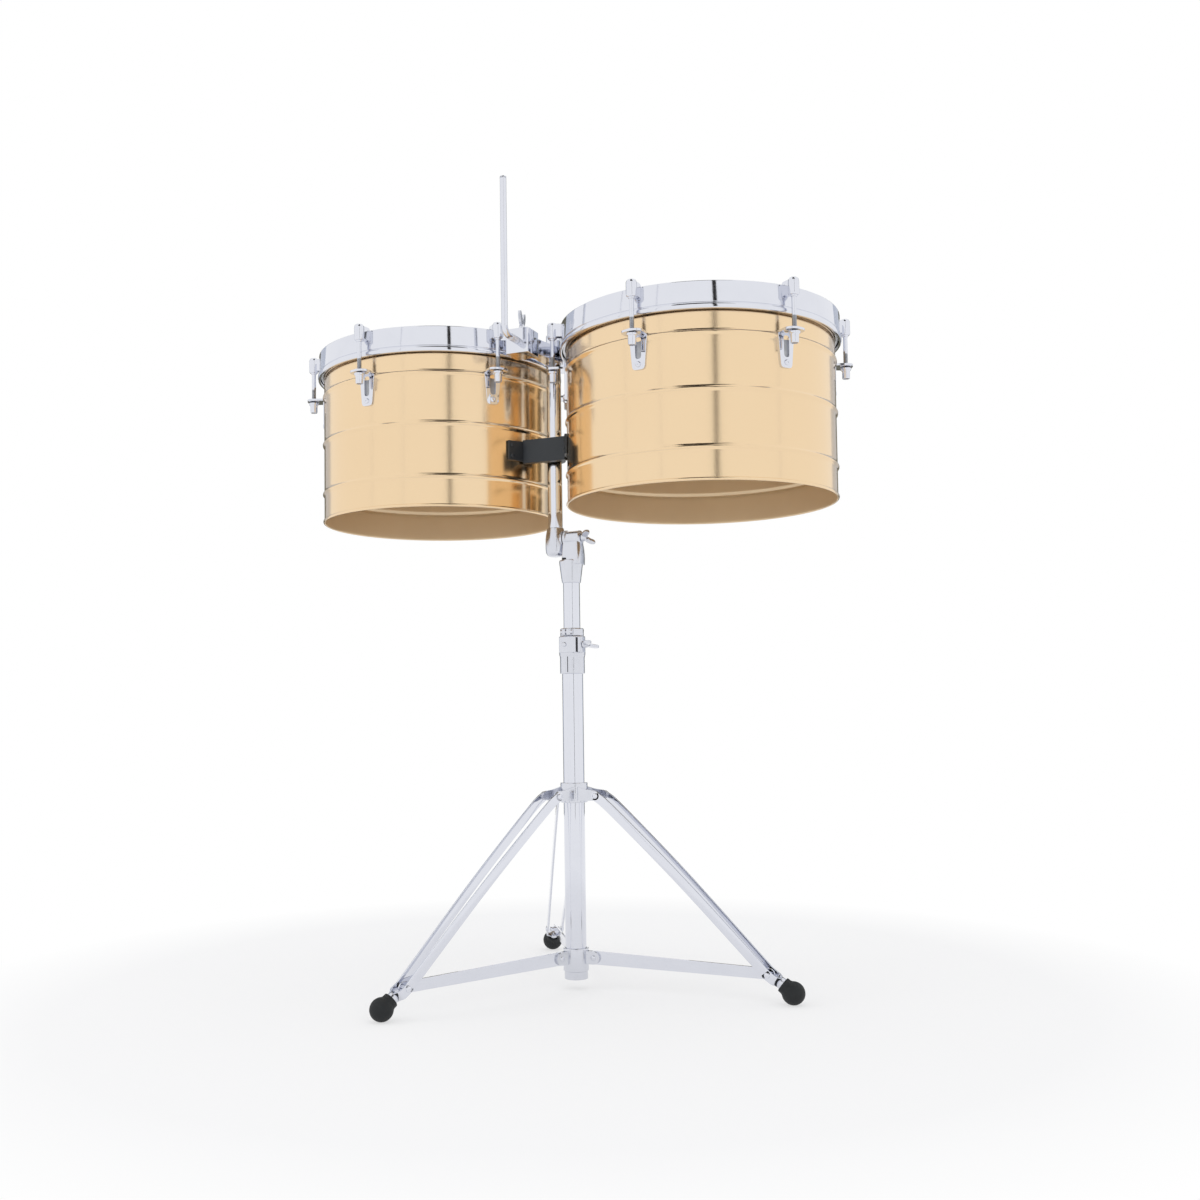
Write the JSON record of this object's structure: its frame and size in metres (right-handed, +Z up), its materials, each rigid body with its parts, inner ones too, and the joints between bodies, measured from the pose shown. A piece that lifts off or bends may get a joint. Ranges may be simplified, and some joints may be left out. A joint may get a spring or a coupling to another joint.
{
  "type": "timbales",
  "caption": "Timbales: open-bottomed metal drums with tension rods and hoops, on a tilting, height-adjustable stand with folding legs and an accessory rod.",
  "frame": {"origin": "on the floor, under the middle of the bounding box", "axes": "+X from the small drum to the large one, -Y towards the audience, +Z up"},
  "size_m": [0.8634, 0.6072, 1.203],
  "materials": {
    "shell": "polished pale bronze plate",
    "chrome": "polished",
    "head": "smooth film",
    "bracket": "satin black",
    "foot": "matte"
  },
  "bodies": {
    "base": {"outer_tube": "chrome", "hub": "chrome", "height_clamp": "chrome"},
    "collar": {"leg_collar": "chrome"},
    "column": {"inner_tube": "chrome", "memory_lock": "chrome", "tilter_lower": "chrome"},
    "drums": {"tilter_upper": "chrome", "post": "chrome", "bar_bracket": "bracket", "accessory_block": "chrome", "small_shell": "shell", "small_head": "head", "small_hoop": "chrome", "large_shell": "shell", "large_head": "head", "large_hoop": "chrome", "small_hook_1": "chrome", "small_hook_2": "chrome", "small_hook_3": "chrome", "small_hook_4": "chrome", "small_hook_5": "chrome", "small_hook_6": "chrome", "large_hook_1": "chrome", "large_hook_2": "chrome", "large_hook_3": "chrome", "large_hook_4": "chrome", "large_hook_5": "chrome", "large_hook_6": "chrome"},
    "accessory_rod": {"accessory_rod": "chrome"},
    "accessory_screw": {"accessory_screw": "chrome"},
    "tilter_screw": {"tilter_screw": "chrome"},
    "height_screw": {"height_screw": "chrome"},
    "leg_1": {"leg_1": "chrome", "foot_1": "foot"},
    "brace_1": {"brace_1": "chrome"},
    "leg_2": {"leg_2": "chrome", "foot_2": "foot"},
    "brace_2": {"brace_2": "chrome"},
    "leg_3": {"leg_3": "chrome", "foot_3": "foot"},
    "brace_3": {"brace_3": "chrome"},
    "small_nut_1": {"small_nut_1": "chrome"},
    "small_nut_2": {"small_nut_2": "chrome"},
    "small_nut_3": {"small_nut_3": "chrome"},
    "small_nut_4": {"small_nut_4": "chrome"},
    "small_nut_5": {"small_nut_5": "chrome"},
    "small_nut_6": {"small_nut_6": "chrome"},
    "large_nut_1": {"large_nut_1": "chrome"},
    "large_nut_2": {"large_nut_2": "chrome"},
    "large_nut_3": {"large_nut_3": "chrome"},
    "large_nut_4": {"large_nut_4": "chrome"},
    "large_nut_5": {"large_nut_5": "chrome"},
    "large_nut_6": {"large_nut_6": "chrome"}
  },
  "joints": [
    {"name": "collar_slide", "type": "slide", "parent": "base", "child": "collar", "axis": [0, 0, -1], "range_m": [0, 0.1529]},
    {"name": "brace_1_fold", "type": "hinge", "parent": "base", "child": "brace_1", "pos_m": [0.04683, 0, 0.0475], "axis": [0, 1, 0], "range_deg": [0, 86.03]},
    {"name": "leg_1_fold", "type": "hinge", "parent": "brace_1", "child": "leg_1", "pos_m": [0.31383, 0, 0.041], "axis": [0, -1, 0], "range_deg": [0, 40.35]},
    {"name": "brace_2_fold", "type": "hinge", "parent": "base", "child": "brace_2", "pos_m": [0.00183, 0.02598, 0.0475], "axis": [-0.866, -0.5, 0], "range_deg": [0, 86.03]},
    {"name": "leg_2_fold", "type": "hinge", "parent": "brace_2", "child": "leg_2", "pos_m": [-0.13167, 0.25721, 0.041], "axis": [0.866, 0.5, 0], "range_deg": [0, 40.35]},
    {"name": "brace_3_fold", "type": "hinge", "parent": "base", "child": "brace_3", "pos_m": [0.00183, -0.02598, 0.0475], "axis": [0.866, -0.5, 0], "range_deg": [0, 86.03]},
    {"name": "leg_3_fold", "type": "hinge", "parent": "brace_3", "child": "leg_3", "pos_m": [-0.13167, -0.25721, 0.041], "axis": [-0.866, 0.5, 0], "range_deg": [0, 40.35]},
    {"name": "height_slide", "type": "slide", "parent": "base", "child": "column", "axis": [0, 0, 1], "range_m": [0, 0.2]},
    {"name": "tilt", "type": "hinge", "parent": "column", "child": "drums", "pos_m": [-0.00867, 0, 0.682], "axis": [1, 0, 0], "range_deg": [-30, 30]},
    {"name": "height_screw_turn", "type": "hinge", "parent": "base", "child": "height_screw", "pos_m": [0.04213, -0.0176, 0.517], "axis": [1, 0, 0], "range_deg": [0, 360]},
    {"name": "tilter_screw_turn", "type": "hinge", "parent": "column", "child": "tilter_screw", "pos_m": [0.03513, 0, 0.682], "axis": [1, 0, 0], "range_deg": [0, 360]},
    {"name": "accessory_rod_turn", "type": "hinge", "parent": "drums", "child": "accessory_rod", "pos_m": [-0.02517, -0.098, 0.9695], "axis": [0, 1, 0], "range_deg": [-60, 60]},
    {"name": "accessory_screw_turn", "type": "hinge", "parent": "drums", "child": "accessory_screw", "pos_m": [-0.02517, -0.079, 0.9883], "axis": [0, 0, 1], "range_deg": [0, 360]},
    {"name": "small_nut_1_turn", "type": "hinge", "parent": "drums", "child": "small_nut_1", "pos_m": [-0.03526, 0.11755, 0.92], "axis": [0, 0, 1], "range_deg": [0, 360]},
    {"name": "small_nut_2_turn", "type": "hinge", "parent": "drums", "child": "small_nut_2", "pos_m": [-0.20194, 0.24315, 0.92], "axis": [0, 0, 1], "range_deg": [0, 360]},
    {"name": "small_nut_3_turn", "type": "hinge", "parent": "drums", "child": "small_nut_3", "pos_m": [-0.39405, 0.1616, 0.92], "axis": [0, 0, 1], "range_deg": [0, 360]},
    {"name": "small_nut_4_turn", "type": "hinge", "parent": "drums", "child": "small_nut_4", "pos_m": [-0.41948, -0.04555, 0.92], "axis": [0, 0, 1], "range_deg": [0, 360]},
    {"name": "small_nut_5_turn", "type": "hinge", "parent": "drums", "child": "small_nut_5", "pos_m": [-0.25281, -0.17115, 0.92], "axis": [0, 0, 1], "range_deg": [0, 360]},
    {"name": "small_nut_6_turn", "type": "hinge", "parent": "drums", "child": "small_nut_6", "pos_m": [-0.0607, -0.0896, 0.92], "axis": [0, 0, 1], "range_deg": [0, 360]},
    {"name": "large_nut_1_turn", "type": "hinge", "parent": "drums", "child": "large_nut_1", "pos_m": [0.41948, 0.12249, 0.92], "axis": [0, 0, 1], "range_deg": [0, 360]},
    {"name": "large_nut_2_turn", "type": "hinge", "parent": "drums", "child": "large_nut_2", "pos_m": [0.2427, 0.2557, 0.92], "axis": [0, 0, 1], "range_deg": [0, 360]},
    {"name": "large_nut_3_turn", "type": "hinge", "parent": "drums", "child": "large_nut_3", "pos_m": [0.03895, 0.16921, 0.92], "axis": [0, 0, 1], "range_deg": [0, 360]},
    {"name": "large_nut_4_turn", "type": "hinge", "parent": "drums", "child": "large_nut_4", "pos_m": [0.01197, -0.05049, 0.92], "axis": [0, 0, 1], "range_deg": [0, 360]},
    {"name": "large_nut_5_turn", "type": "hinge", "parent": "drums", "child": "large_nut_5", "pos_m": [0.18875, -0.1837, 0.92], "axis": [0, 0, 1], "range_deg": [0, 360]},
    {"name": "large_nut_6_turn", "type": "hinge", "parent": "drums", "child": "large_nut_6", "pos_m": [0.39251, -0.09721, 0.92], "axis": [0, 0, 1], "range_deg": [0, 360]}
  ],
  "couplings": [
    {"joint": "leg_1_fold", "follows": "collar_slide", "rad_per_m": 4.6056},
    {"joint": "brace_1_fold", "follows": "collar_slide", "rad_per_m": 9.8202},
    {"joint": "leg_2_fold", "follows": "collar_slide", "rad_per_m": 4.6056},
    {"joint": "brace_2_fold", "follows": "collar_slide", "rad_per_m": 9.8202},
    {"joint": "leg_3_fold", "follows": "collar_slide", "rad_per_m": 4.6056},
    {"joint": "brace_3_fold", "follows": "collar_slide", "rad_per_m": 9.8202}
  ]
}
